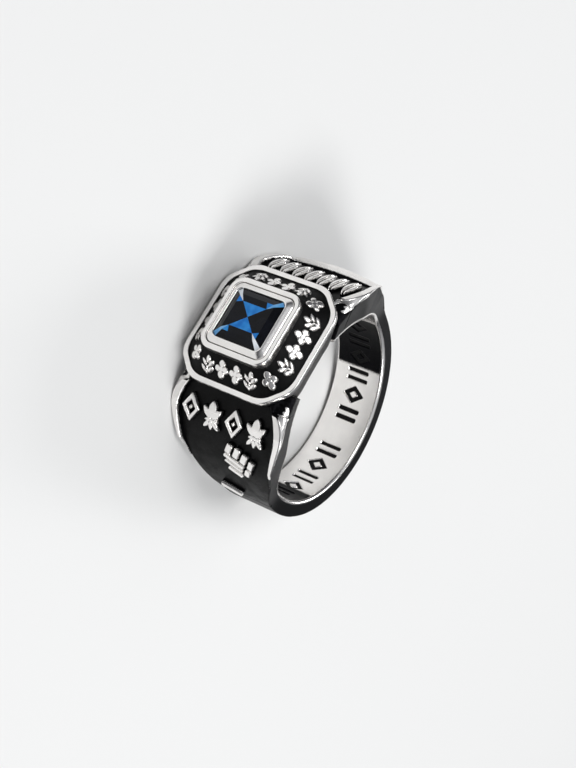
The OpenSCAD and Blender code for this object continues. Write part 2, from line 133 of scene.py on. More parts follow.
class Shape:
    """The ring's derived sizes, in millimetres, in the frame of its finger hole.

    x runs to the head, y to the near shoulder and z along the finger.
    """

    FLARE_X = 0.3
    RIM_END_X = 5.2
    FIELD_END_X = 0.6
    WAIST = 18
    WAIST_HALF = 4.1
    EAR_HALF = 4.9
    NECK_HALF = 4.2
    CORNER_R = 2.3
    FADE_X, FADE_END_X = 8.0, 5.0
    INNER_HALF = 4.95
    INNER_SLOPE = 0.4
    FOOT_HALF = 4.9
    WALL_H = 0.5
    RIM_HEAD = 0.55
    COLLAR_CORNER = 1.4
    LIP_H = 0.3
    EDGE = 0.09
    SOFT, FLARE_SOFT = 0.06, 0.25
    CORNER_DROP, SLOPE_DROP, GIRDLE_DROP = 0.35, 0.35, 0.25
    COLLAR_WALL_H = 1

    def __init__(self, sizes):
        s = self
        for name in RingSizes.__annotations__:
            setattr(s, name, getattr(sizes, name))
        s.band_half = s.band_w / 2
        s.bulge_z = s.shoulder_w / 2 - s.bulge_r
        s.field_r = s.shoulder_r - s.field_depth
        s.rest_tilt = atan2(s.shoulder_w / 2 - s.band_half, s.bulge_x + s.band_r)
        s.corner_x = s.bulge_x - s.CORNER_DROP
        s.corner_z = s.shoulder_w / 2 - s.rim_w - s.CORNER_R
        s.touch = s.touch_point((s.FLARE_X, s.band_half), (s.bulge_x, s.bulge_z), s.bulge_r)
        s.flare = (s.touch[1] - s.band_half) / (s.touch[0] - s.FLARE_X)
        s.rim_end = (s.RIM_END_X, s.band_half + s.flare * (s.RIM_END_X - s.FLARE_X))
        s.field_touch = s.touch_point(s.rim_end, (s.corner_x, s.corner_z), s.CORNER_R)
        s.field_slope = (s.field_touch[1] - s.rim_end[1]) / (s.field_touch[0] - s.rim_end[0])
        s.fade_y = s.outline_y(s.shoulder_r, s.FADE_X)
        s.fade_slope = ((s.outline_y(s.field_r, s.FADE_END_X) - s.fade_y)
                        / (s.FADE_X - s.FADE_END_X))
        s.head_half = s.head_w / 2
        s.head_diag = (s.head_w - s.head_cut) / sqrt(2)
        s.collar_half = s.collar_w / 2
        s.collar_diag = s.collar_half * sqrt(2) - s.COLLAR_CORNER * (sqrt(2) - 1)
        s.slope_low = s.head_half - s.RIM_HEAD
        s.slope_low_diag = s.head_diag - s.RIM_HEAD
        s.slope_x = s.head_x - s.SLOPE_DROP
        s.slope_top_x = s.head_x + s.collar_h - s.COLLAR_WALL_H
        s.slope_lean = (s.slope_low - s.collar_half) / (s.slope_top_x - s.slope_x)
        s.slope_angle = atan(1 / s.slope_lean)
        s.collar_x = s.head_x + s.collar_h
        s.lip_x = s.collar_x + s.LIP_H
        s.wall_x = s.head_x - s.WALL_H
        s.wall_lean = (s.head_half - s.FOOT_HALF) / (s.wall_x - s.bore_r)
        s.girdle_x = s.lip_x - s.GIRDLE_DROP

    def touch_point(self, p, centre, r):
        """Where a line from p touches a circle on its upper side."""
        dx, dz = centre[0] - p[0], centre[1] - p[1]
        a = atan2(dz, dx) + asin(r / sqrt(dx * dx + dz * dz))
        return (centre[0] - r * sin(a), centre[1] + r * cos(a))

    def outline_y(self, r, x):
        """Distance of the outline of radius r from the line to the head, at height x."""
        return sqrt(r * r - (x - self.shoulder_x) ** 2)

    def faded(self, theta, rim):
        """The borders' radius, sunk towards the ground at their lower ends."""
        along = np.sin(theta) + self.fade_slope * np.cos(theta)
        line = (self.fade_y + self.fade_slope * self.FADE_X) / np.maximum(along, 0.1)
        return np.minimum(rim, line)

    def belt_radius(self, theta, r):
        """Distance from the finger axis to the outline of radius r round the shoulders' centre."""
        turn = acos((self.band_r - r) / self.shoulder_x)
        end = atan2(r * sin(turn), self.shoulder_x + r * cos(turn))
        t = folded(theta)
        c = self.shoulder_x
        upper = c * np.cos(t) + np.sqrt(r * r - (c * np.sin(t)) ** 2)
        line = self.band_r / np.cos(t - turn)
        return np.where(t < end, upper, np.where(t < turn, line, self.band_r))

    def plan_half(self, x):
        """Half width of the band at height x."""
        line = self.band_half + self.flare * (x - self.FLARE_X)
        soft = self.FLARE_SOFT
        flare = self.band_half + soft * np.logaddexp(0, (line - self.band_half) / soft)
        reach = np.clip(self.bulge_r**2 - (x - self.bulge_x) ** 2, 0, None)
        arc = -soft_min(-self.bulge_z - np.sqrt(reach), -self.EAR_HALF, self.SOFT)
        return np.where(x < self.touch[0], flare, arc)

    def side_half(self, theta, r):
        """Half width of the band at an angle and a radius."""
        t = folded(theta)
        lean = self.INNER_HALF + self.INNER_SLOPE * (r - self.bore_r)
        full = soft_min(self.plan_half(r * np.cos(t)), lean, self.SOFT)
        waist = smooth(radians(self.WAIST - 0.5), radians(self.WAIST + 0.7), t)
        return self.WAIST_HALF + (full - self.WAIST_HALF) * waist

    def field_distance(self, x, z):
        """Signed distance to the edge of a shoulder's field, less than 0 inside it."""
        z = np.abs(z)
        line = self.rim_end[1] + self.field_slope * (x - self.rim_end[0])
        below = np.maximum((z - line) * cos(atan(self.field_slope)), x - self.corner_x)
        corner = np.hypot(x - self.corner_x, z - self.corner_z) - self.CORNER_R
        above = np.maximum(z - self.NECK_HALF, self.corner_x - 1 - x)
        return np.minimum(np.minimum(below, corner), above)


# Signed distances of flat drawings, in millimetres

def box_distance(x, y, cx, cy, w, h, r=0.08):
    """Rounded bar of a width and a height round a centre."""
    qx = np.abs(x - cx) - w / 2 + r
    qy = np.abs(y - cy) - h / 2 + r
    outside = np.hypot(np.maximum(qx, 0), np.maximum(qy, 0))
    return outside + np.minimum(np.maximum(qx, qy), 0) - r


def petal_distance(x, y, a, b, w):
    """Leaf from a to b, w wide at its middle."""
    ax, ay = a
    dx, dy = b[0] - ax, b[1] - ay
    length = sqrt(dx * dx + dy * dy)
    u = ((x - ax) * dx + (y - ay) * dy) / length - length / 2
    v = np.abs((y - ay) * dx - (x - ax) * dy) / length
    r = (length**2 / 4 + w**2 / 4) / w
    return np.hypot(u, v + r - w / 2) - r


def lozenge_distance(x, y, w, h):
    """Lozenge round the middle."""
    return (np.abs(x) / (w / 2) + np.abs(y) / (h / 2) - 1) / sqrt(4 / w**2 + 4 / h**2)


def lozenge_ring_distance(x, y, w, h, s):
    """Lozenge drawn as a line of width s."""
    edge = lozenge_distance(x, y, w, h)
    return np.maximum(edge, -edge - s)


def diamond_distance(x, y, w, h):
    """Lozenge with a smaller one inside it."""
    return np.minimum(lozenge_ring_distance(x, y, w, h, RING_STROKE),
                      lozenge_distance(x, y, w * 0.22, h * 0.22))


def lily_distance(x, y, w, h):
    """Lily: three petals above a cross bar and three below it."""
    x = np.abs(x)
    return np.minimum.reduce([
        petal_distance(x, y, (0, -h * 0.12), (0, h / 2), w * 0.44),
        box_distance(x, y, 0, -h * 0.16, w * 0.7, h * 0.12),
        petal_distance(x, y, (0, -h * 0.16), (0, -h / 2), w * 0.28),
        petal_distance(x, y, (w * 0.02, -h * 0.14), (w / 2, h * 0.27), w * 0.34),
        petal_distance(x, y, (w * 0.06, -h * 0.16), (w * 0.42, -h * 0.46), w * 0.26),
    ])


def turned(x, y, angle):
    """A point in a drawing's own axes, turned by an angle in degrees."""
    c, s = cos(radians(angle)), sin(radians(angle))
    return c * x + s * y, c * y - s * x


# Middle, width and height of each bar of the hand
HAND_BARS = (
    (-1.38, 0.82, 0.76, 1.2),
    (-0.47, 0.95, 0.76, 1.3),
    (0.44, 0.92, 0.76, 1.25),
    (1.32, 0.75, 0.7, 1.1),
    (-0.45, -0.12, 2.5, 0.54),
    (1.28, -0.42, 0.7, 0.96),
    (-0.3, -0.68, 2.2, 0.42),
    (0.1, -1.3, 1.8, 0.54),
)


def hand_distance(x, y):
    """Clenched hand: four fingers, the thumb across them, the palm and the wrist."""
    return np.minimum.reduce([box_distance(x, y, *bar, 0.2) for bar in HAND_BARS])


def leaf_distance(x, y, w, h):
    """Pointed leaf with a split down its middle."""
    leaf = petal_distance(x, y, (0, -h / 2), (0, h / 2), w)
    return np.maximum(leaf, 0.09 - np.abs(x))


def flower_distance(x, y, w, h):
    """Flower of four petals round a bead."""
    parts = [np.hypot(x, y) - 0.28]
    for m in (-1, 1):
        parts.append(petal_distance(x, y, (0, m * 0.12), (0, m * h / 2), w * 0.48))
        parts.append(petal_distance(x, y, (m * 0.12, 0), (m * w / 2, 0), w * 0.44))
    return np.minimum.reduce(parts)


def sprig_distance(x, y, w, h):
    """Sprig: a stem with two pairs of leaves and a tip."""
    parts = [
        box_distance(x, y, 0, -h * 0.28, 0.24, h * 0.44),
        petal_distance(x, y, (0, h * 0.04), (0, h / 2), w * 0.38),
    ]
    for m in (-1, 1):
        parts.append(petal_distance(x, y, (m * 0.05, -h * 0.44), (m * w / 2, -h * 0.06), w * 0.28))
        parts.append(petal_distance(x, y, (m * 0.05, -h * 0.14), (m * w / 2, h * 0.28), w * 0.28))
    return np.minimum.reduce(parts)


# Where the ornament lies on the metal

ROW_ANGLE, ROW_Z = 42.5, (-4.05, -1.55, 0.95, 3.45)
FIGURE_W, FIGURE_H, RING_STROKE, FINE_STROKE = 2.1, 3.1, 0.45, 0.4
HAND_ANGLE, HAND_Z, HAND_TURN = 61, 1.6, -20
CUFF_ANGLE, CUFF_Z, CUFF_W, CUFF_H = 84.5, -0.3, 2.4, 0.8
LEAF_ANGLE, LEAF_W, LEAF_H, LEAF_STEP, LEAF_COUNT = 45, 1.15, 3.9, 1.4, 7
CROSS_ANGLE, CROSS_W, CROSS_Z, CROSS_RISE, CROWN_HALF = 66.5, 1.0, 0.4, 0.4, 4.6
BORDER_H, BORDER_RELIEF, FLOWER_W, SPRIG_W = 1.8, 0.35, 1.5, 1.4
SIDE_MARKS = ((-2.4, SPRIG_W), (-0.8, FLOWER_W), (0.8, FLOWER_W), (2.4, SPRIG_W))
MARK_FIRST, MARK_STEP, MARK_COUNT, MARK_GAP = 110, 12.5, 13, 6
MARK_W, MARK_H, MARK_DEPTH = 1.85, 2.4, 0.2


def on_shoulder(shape, x, y, angle):
    """Height above a drawing seated on a shoulder at an angle about the shoulders' centre."""
    a = radians(angle)
    return (x - shape.shoulder_x) * sin(a) - y * cos(a)


def near_distance(shape, x, y, z):
    """Distance to the figures on the near shoulder."""
    up = on_shoulder(shape, x, y, ROW_ANGLE)
    parts = []
    for i, row in enumerate(ROW_Z):
        draw = lily_distance if i % 2 else diamond_distance
        parts.append(draw(z - row, up, FIGURE_W, FIGURE_H))
    hand = turned(z - HAND_Z, on_shoulder(shape, x, y, HAND_ANGLE), HAND_TURN)
    cuff = turned(z - CUFF_Z, on_shoulder(shape, x, y, CUFF_ANGLE), HAND_TURN)
    parts += [hand_distance(*hand), box_distance(*cuff, 0, 0, CUFF_W, CUFF_H)]
    return np.minimum.reduce(parts)


def far_distance(shape, x, y, z):
    """Distance to the leaves on the far shoulder."""
    up = on_shoulder(shape, x, y, LEAF_ANGLE)
    first = -(LEAF_COUNT - 1) / 2
    return np.minimum.reduce([
        leaf_distance(z - (first + i) * LEAF_STEP, up, LEAF_W, LEAF_H) for i in range(LEAF_COUNT)
    ])


def cross_distance(shape, x, y):
    """Distance to the border that closes the far field below the leaves."""
    return np.abs(on_shoulder(shape, x, y, CROSS_ANGLE)) - CROSS_W / 2


def border_distance(shape, y, z):
    """Distance to the ornament on the head's slope, from above."""
    best = np.full(y.shape, 9.0)
    for turn in range(0, 360, 45):
        straight = turn % 90 == 0
        mid = (shape.slope_low + shape.collar_half) / 2
        if not straight:
            mid = (shape.slope_low_diag + shape.collar_diag) / 2
        c, s = cos(radians(turn)), sin(radians(turn))
        out, along = c * y + s * z, c * z - s * y
        up = (mid - out) / cos(shape.slope_angle)
        facing = np.where((out > 0) & (out > np.abs(along)), 0.0, 9.0)
        for place, width in SIDE_MARKS if straight else ((0, FLOWER_W),):
            draw = sprig_distance if width == SPRIG_W else flower_distance
            best = np.minimum(best, draw(along - place, up, width, BORDER_H) + facing)
    return best


def mark_distance(shape, theta, z):
    """Distance to the engraved marks inside the band."""
    best = np.full(np.broadcast(theta, z).shape, 9.0)
    for i in range(MARK_COUNT):
        if i == MARK_GAP:
            continue
        along = (theta - radians(MARK_FIRST + i * MARK_STEP)) * shape.bore_r
        if i % 2:
            mark = box_distance(np.abs(along), z, MARK_W / 4, 0, FINE_STROKE, MARK_H)
        else:
            mark = lozenge_ring_distance(along, z, MARK_W, MARK_H, FINE_STROKE)
        best = np.minimum(best, mark)
    return best


# Mesh making

def tilt_matrix(shape):
    """Turns the frame of the finger hole, in millimetres, into the part's frame, in metres."""
    turn = Matrix.Rotation(-shape.rest_tilt, 3, "Y")
    return np.array(turn) * MM


def grid_normals(points, wrap):
    """Unit normals of a grid of points; columns run round when wrap is true."""
    if wrap:
        across = np.roll(points, -1, 1) - np.roll(points, 1, 1)
    else:
        across = np.gradient(points, axis=1)
    down = np.gradient(points, axis=0)
    n = np.cross(across, down)
    return n / np.maximum(np.linalg.norm(n, axis=2, keepdims=True), 1e-12)


def grid_faces(rows, cols, wrap, start=0):
    """Quads of a grid of points."""
    r, c = np.meshgrid(np.arange(rows - 1), np.arange(cols if wrap else cols - 1), indexing="ij")
    nxt = (c + 1) % cols
    quads = np.stack([r * cols + c, r * cols + nxt, (r + 1) * cols + nxt, (r + 1) * cols + c], -1)
    return quads.reshape(-1, 4) + start


def mesh_object(name, points, faces, normals, shape, dark=None):
    """Makes an object of quads and longer faces, with its own vertex normals."""
    matrix = tilt_matrix(shape)
    mesh = bpy.data.meshes.new(name)
    mesh.from_pydata((points @ matrix.T).tolist(), [], [list(f) for f in faces])
    mesh.polygons.foreach_set("use_smooth", np.ones(len(mesh.polygons), bool))
    turned_normals = normals @ (matrix / MM).T
    mesh.normals_split_custom_set_from_vertices(turned_normals.tolist())
    if dark is not None:
        layer = mesh.attributes.new("darkened", "FLOAT", "POINT")
        layer.data.foreach_set("value", np.ascontiguousarray(dark, np.float32))
    mesh.update()
    piece = bpy.data.objects.new(name, mesh)
    bpy.context.scene.collection.objects.link(piece)
    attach(piece, "root")
    return piece


def tube_piece(name, points, shape, dark=None):
    """Closed piece from a grid whose columns run round; its first and last rows are ghosts.

    The ghosts only give the normals of the rows next to them. Both ends get a cap.
    """
    normals = grid_normals(points, True)[1:-1]
    inner = points[1:-1]
    rows, cols = inner.shape[:2]
    faces = grid_faces(rows, cols, True).tolist()
    faces.append(list(range(cols - 1, -1, -1)))
    faces.append(list(range((rows - 1) * cols, rows * cols)))
    flat = inner.reshape(-1, 3)
    shade = None if dark is None else dark[1:-1].reshape(-1)
    return mesh_object(name, flat, faces, normals.reshape(-1, 3), shape, shade)


def shell_piece(name, top, bottom, shape, wrap=False):
    """Thin closed piece between two grids, the top one outside."""
    rows, cols = top.shape[:2]
    count = rows * cols
    n_top = grid_normals(top, wrap)
    faces = grid_faces(rows, cols, wrap).tolist()
    faces += [f[::-1] for f in grid_faces(rows, cols, wrap, count).tolist()]
    edge = [c for c in range(cols)]
    last = [(rows - 1) * cols + c for c in range(cols)]
    rings = [edge, last[::-1]]
    if not wrap:
        rings = [edge + [r * cols + cols - 1 for r in range(1, rows)]
                 + last[-2::-1] + [r * cols for r in range(rows - 2, -1, -1)]]
    for ring in rings:
        pairs = list(zip(ring, ring[1:] + (ring[:1] if wrap else [])))
        faces += [[b, a, a + count, b + count] for a, b in pairs if a != b]
    points = np.concatenate([top.reshape(-1, 3), bottom.reshape(-1, 3)])
    normals = np.concatenate([n_top.reshape(-1, 3), -n_top.reshape(-1, 3)])
    return mesh_object(name, points, faces, normals, shape)


def ring_points(theta, r, z):
    """Points at an angle, a radius and a place along the finger."""
    r, theta, z = np.broadcast_arrays(r, theta, z)
    return np.stack([r * np.cos(theta), r * np.sin(theta), z], -1)


def spread(start, stop, count, end=True):
    """Evenly spaced values."""
    return np.linspace(start, stop, count, endpoint=end)


# Band

# Width and drop of the rounded edges of borders, figures and the cross bar
RIM_DOME, FIGURE_DOME, CROSS_DOME = (0.3, 0.07), (0.2, 0.09), (0.4, 0.25)
# Radius of the edge between the bore and the sides
BORE_EDGE = 0.28
# The metal above this height, under the head, is painted dark with shade
DARK_X = 12.1
# Angles between which the inside of the bore gets painted shade, standing for the shadow and dark
# reflection under the head
SHADE_FROM, SHADE_FULL, SHADE_FADES, SHADE_TO = 87, 93, 124, 140
# How dark that painted shade in the bore gets
BORE_SHADE = 0.85
# Radius of the outer edge on the band, and what it gains towards the head
OUTER_EDGE, OUTER_EDGE_GAIN = 0.12, 0.14
# Heights between which the near borders' lower tips darken, on either side
TIP_RIGHT, TIP_LEFT = (7.7, 7.2), (6, 5.2)
# Heights between which the band turns dark with painted shade, below the shoulders and at the back
LOW_DARK, BACK_BRIGHT = (0.8, 0.5), (-6.5, -2.5)
# Satin of the lips by the near shoulder's borders, and a painted shade line along their middle, at
# the crease
LIP_TONES = np.array([-0.8, 0.46, -0.8])
# Points across the bore, a side and the outside
SHOULDER_COUNTS, LOWER_COUNTS = (24, 16, 250), (72, 8, 24)
# First angle, last angle and number of cross sections
SHOULDER_ROWS = ((11.7, 17.2, 16), (17.2, 19.2, 26), (19.2, 92.3, 238))
LOWER_ROWS = (91.5, 268.5, 420)


def outer_radius(shape, theta, z, figures):
    """Radius of the band's outside: ground, borders and raised figures."""
    rim = shape.belt_radius(theta, shape.shoulder_r)
    ground = shape.belt_radius(theta, shape.field_r)
    x, y = rim * np.cos(theta), np.abs(rim * np.sin(theta))
    edge = shape.field_distance(x, z)
    gate = smooth(0.8, 2.2, x)
    border = smooth(-shape.EDGE, shape.EDGE, edge) * gate
    inside = smooth(-shape.EDGE, shape.EDGE, -edge) * smooth(0.5, 0.6, x)
    floor = ground - shape.enamel_t * inside
    top = shape.faded(theta, rim) - dome(edge, RIM_DOME) * gate
    if figures is not None:
        gap = -figures(shape, x, y, z)
        figure = smooth(-0.08, 0.08, gap)
        top = np.where(edge < 0, rim - 0.06 - dome(gap, FIGURE_DOME), top)
        border = np.maximum(border, figure)
    surface = floor + border * (top - floor)
    if figures is far_distance:
        gap = -cross_distance(shape, x, y)
        crown = CROSS_RISE * np.clip(1 - ((z - CROSS_Z) / CROWN_HALF) ** 2, 0, 1)
        cross = smooth(-0.06, 0.06, gap)
        raised = np.maximum(surface, rim + crown - dome(gap, CROSS_DOME))
        surface = surface + cross * (raised - surface)
        border = np.maximum(border, cross)
    hollow = smooth(0.8, 0.55, border) * smooth(0.5, 0.6, x)
    if figures is far_distance:
        return surface, hollow
    tip = np.where(z > 0, smooth(*TIP_RIGHT, x), smooth(*TIP_LEFT, x))
    return surface, np.maximum(hollow, tip * gate * smooth(0, shape.EDGE, edge))


def dome(depth, form):
    """Drop of a rounded edge at a depth inside it; form is the edge's width and its drop."""
    width, drop = form
    t = 1 - np.clip(depth / width, 0, 1)
    return drop * (1 - np.sqrt(1 - t * t * 0.999))


def band_grid(shape, theta, counts, figures=None, marks=False):
    """Cross sections of the band at each angle, as a grid, and how dark each point is."""
    bore_n, side_n, outer_n = counts
    t = theta[:, None]
    half_in = shape.side_half(t, shape.bore_r + BORE_EDGE)
    rim = shape.belt_radius(t, shape.shoulder_r)
    under_head = shape.WAIST - 0.5
    bore = shape.bore_r + 0.03 * smooth(radians(under_head + 0.5), radians(under_head), folded(t))

    v = spread(-1, 1, bore_n)[None, :]
    z0 = v * (half_in - BORE_EDGE)
    r0 = bore + 0 * z0
    if marks:
        r0 = r0 + MARK_DEPTH * smooth(-0.03, 0.03, -mark_distance(shape, t, z0))
    deg = np.degrees(folded(t))
    # Painted shade inside the bore under the head, faded in and out by angle
    bore_shade = BORE_SHADE * smooth(SHADE_FROM, SHADE_FULL, deg) * smooth(SHADE_TO, SHADE_FADES, deg)
    grid = [(r0, z0, bore_shade + 0 * z0)]

    a = spread(0, pi / 2, 6)[None, 1:-1]
    corner_r = bore + BORE_EDGE * (1 - np.cos(a))
    corner_z = half_in - BORE_EDGE * (1 - np.sin(a))
    corner = (corner_r, corner_z, 0 * corner_z)

    height = rim * np.cos(t)
    outer_edge = OUTER_EDGE + OUTER_EDGE_GAIN * smooth(8.5, 11.5, height)
    half_out = shape.side_half(t, rim)
    z_edge = half_out - outer_edge
    r_edge = outer_radius(shape, t, z_edge, None)[0]
    u = spread(0, 1, side_n)[None, :]
    side_r = (bore + BORE_EDGE) + u * (r_edge - outer_edge - bore - BORE_EDGE)
    side_z = shape.side_half(t, side_r)
    side_z = side_z + (half_out - shape.side_half(t, r_edge)) * u
    # Painted dark reflection on the sides: dark below a bright facet by the outer edge, which is
    # satin higher up; silver near the bore's edge; painted shade under the head
    facet = 0.08 + 0.42 * smooth(8.5, 11.3, height) + 0.25 * smooth(11.8, 12.4, height)
    side_dark = smooth(facet - 0.08, facet + 0.08, r_edge - side_r)
    side_dark = side_dark - (1 - side_dark) * smooth(8.5, 9.5, height)
    side_dark = np.maximum(side_dark, smooth(DARK_X, DARK_X + 0.15, side_r * np.cos(t)))
    side_dark = side_dark * smooth(0.3, 0.42, side_r - bore)
    side = (side_r, side_z, side_dark)

    b = spread(0, pi / 2, 5)[None, 1:-1]
    lip_r = r_edge - outer_edge * (1 - np.sin(b))
    lip_z = half_out - outer_edge * (1 - np.cos(b))
    lip_x = lip_r * np.cos(t)
    # Painted shade on the lips: dark low on the band, and dark under the head
    lip_dark = smooth(7.5, 7, lip_x) * smooth(*BACK_BRIGHT, lip_x)
    # The middle tone of LIP_TONES paints a shade line along the crease
    lip_dark = lip_dark + smooth(9, 10, height) * LIP_TONES
    lip_dark = np.maximum(lip_dark, smooth(DARK_X, DARK_X + 0.15, lip_x))
    lip = (lip_r, lip_z, lip_dark)
    # Painted shade on the far lips, dark low on the band
    far_lip = (lip_r, lip_z, smooth(6, 5, lip_x) * smooth(*BACK_BRIGHT, lip_x))

    w = spread(1, -1, outer_n)[None, :]
    z1 = w * z_edge
    r1, recess = outer_radius(shape, t, z1, figures)
    x1 = r1 * np.cos(t)
    # Painted shade low on the band and under the head, joined with the dark from outer_radius:
    # blackened hollows and the darkened lower tips of the near borders
    low = smooth(*LOW_DARK, x1) * smooth(*BACK_BRIGHT, x1)
    # Painted shade on the outside under the head
    below = smooth(DARK_X + 0.1, DARK_X + 0.25, x1)
    shade = np.maximum.reduce([low, recess, below])
    shade = shade - smooth(0.1, 0, shade) * smooth(10.8, 11.4, x1)
    outside = (r1, z1, shade)

    def mirrored(part):
        return tuple(sign * p[:, ::-1] for p, sign in zip(part, (1, -1, 1)))

    parts = grid + [corner, side, lip, outside, mirrored(far_lip), mirrored(side), mirrored(corner)]
    r, z, dark = (np.concatenate([p[i] for p in parts], 1) for i in range(3))
    return ring_points(t, r, z), dark


def mirrored_about_head(points):
    """Half turn about the line to the head, which swaps the shoulders."""
    return points * np.array([1, -1, -1])


def shoulder_piece(name, shape, figures, far):
    """One shoulder: its rims, its lowered field and the raised figures on it."""
    steps = [spread(*row, False) for row in SHOULDER_ROWS] + [[SHOULDER_ROWS[-1][1]]]
    theta = np.radians(np.concatenate(steps))
    points, dark = band_grid(shape, theta, SHOULDER_COUNTS, figures)
    if far:
        points = mirrored_about_head(points)
    return tube_piece(name, points, shape, dark)


def lower_band_piece(name, shape):
    """The plain band under the finger, engraved on its inside."""
    theta = np.radians(spread(*LOWER_ROWS))
    points, dark = band_grid(shape, theta, LOWER_COUNTS, None, True)
    return tube_piece(name, points, shape, dark)


def field_enamel_piece(name, shape, far):
    """Enamel laid in a shoulder's field."""
    x = spread(12.0, shape.FIELD_END_X, 170)[:, None]
    theta = np.arccos(np.clip(x / shape.field_r, -1, 1))
    for _ in range(4):
        theta = np.arccos(x / shape.belt_radius(theta, shape.field_r))
    r = shape.belt_radius(theta, shape.field_r)
    reach = shape.CORNER_R**2 - (x - shape.corner_x) ** 2
    line = shape.rim_end[1] + shape.field_slope * (x - shape.rim_end[0])
    arc = shape.corner_z + np.sqrt(np.clip(reach, 0, None))
    half = np.where(x < shape.field_touch[0], line, arc)
    half = np.minimum(half + 0.03, shape.plan_half(x) - 0.015)
    z = spread(1, -1, 60)[None, :] * half
    top = ring_points(theta, r, z)
    bottom = ring_points(theta, r - shape.enamel_t + 0.03, z)
    if far:
        top, bottom = mirrored_about_head(top), mirrored_about_head(bottom)
    return shell_piece(name, top, bottom, shape)


def engraving_piece(name, shape):
    """Black sheet inside the band, which shows only through the engraved marks."""
    last = MARK_FIRST + (MARK_COUNT - 1) * MARK_STEP
    theta = np.radians(spread(MARK_FIRST - 6, last + 6, 200))[:, None]
    z = spread(-1, 1, 24)[None, :] * (MARK_H / 2 + 0.1)
    depth = MARK_DEPTH / 2
    top = ring_points(theta, shape.bore_r + depth, z)
    bottom = ring_points(theta, shape.bore_r + depth + 0.06, z)
    return shell_piece(name, top, bottom, shape)


# Head

COLLAR_ROUND = Shape.COLLAR_CORNER
# Length over which an octagon's corner is softened
CORNER_SOFT = 0.8
HEAD_COLUMNS = 700


def octagon_reach(c, s, half, diag):
    """Distance from the middle of an octagon to its edge, in a direction.

    Its corners are a little rounded: the two distances go over softly.
    """
    c, s = np.abs(c), np.abs(s)
    straight = half / np.maximum(c, s)
    slanted = diag * sqrt(2) / (c + s)
    gap = np.clip(1 - np.abs(straight - slanted) / CORNER_SOFT, 0, 1)
    return np.minimum(straight, slanted) - gap**2 * CORNER_SOFT / 4


def rounded_reach(c, s, half, r):
    """Distance from the middle of a square with rounded corners to its edge, in a direction."""
    c, s = np.abs(c), np.abs(s)
    straight = half / np.maximum(c, s)
    inner = half - r
    on_side = straight * np.minimum(c, s) <= inner
    root = (inner * (c + s)) ** 2 - 2 * inner**2 + r * r
    corner = inner * (c + s) + np.sqrt(np.clip(root, 0, None))
    return np.where(on_side, straight, corner)


def rounding(a, b, middle, steps=4):
    """Points of a rounded corner from a to b round its sharp point, both left out."""
    t = spread(0, 1, steps + 2)[1:-1]
    a, b, m = np.array(a), np.array(b), np.array(middle)
    return [tuple((1 - u) ** 2 * a + 2 * u * (1 - u) * m + u**2 * b) for u in t]


def collar_profile(shape):
    """Half widths and heights of the collar from the stone's seat out and down."""
    top, lip, half = shape.collar_x, shape.lip_x, shape.collar_half
    seat = shape.stone_w / 2 + 0.04
    line = [(0.3, lip - 1.2), (0.6, lip - 1.2), (seat, lip - 1.2), (seat, lip - 0.6)]
    line += [(seat, lip - 0.12)]
    line += rounding((seat, lip - 0.12), (seat + 0.14, lip - 0.02), (seat + 0.02, lip), 3)
    line += [(seat + 0.14, lip - 0.02), (2.95, lip - 0.14), (3.13, lip - 0.27)]
    line += rounding((3.13, lip - 0.27), (3.25, top - 0.09), (3.22, lip - 0.31), 2)
    line += [(3.25, top - 0.09), (3.27, top - 0.14), (3.31, top - 0.14), (3.34, top - 0.08)]
    line += rounding((3.34, top - 0.08), (3.42, top), (3.35, top), 2)
    line += [(3.45, top), (half - 0.2, top)]
    line += rounding((half - 0.2, top), (half, top - 0.2), (half, top), 5)
    line += [(half, top - 0.2), (half, top - 0.4), (half, top - 0.8)]
    return line


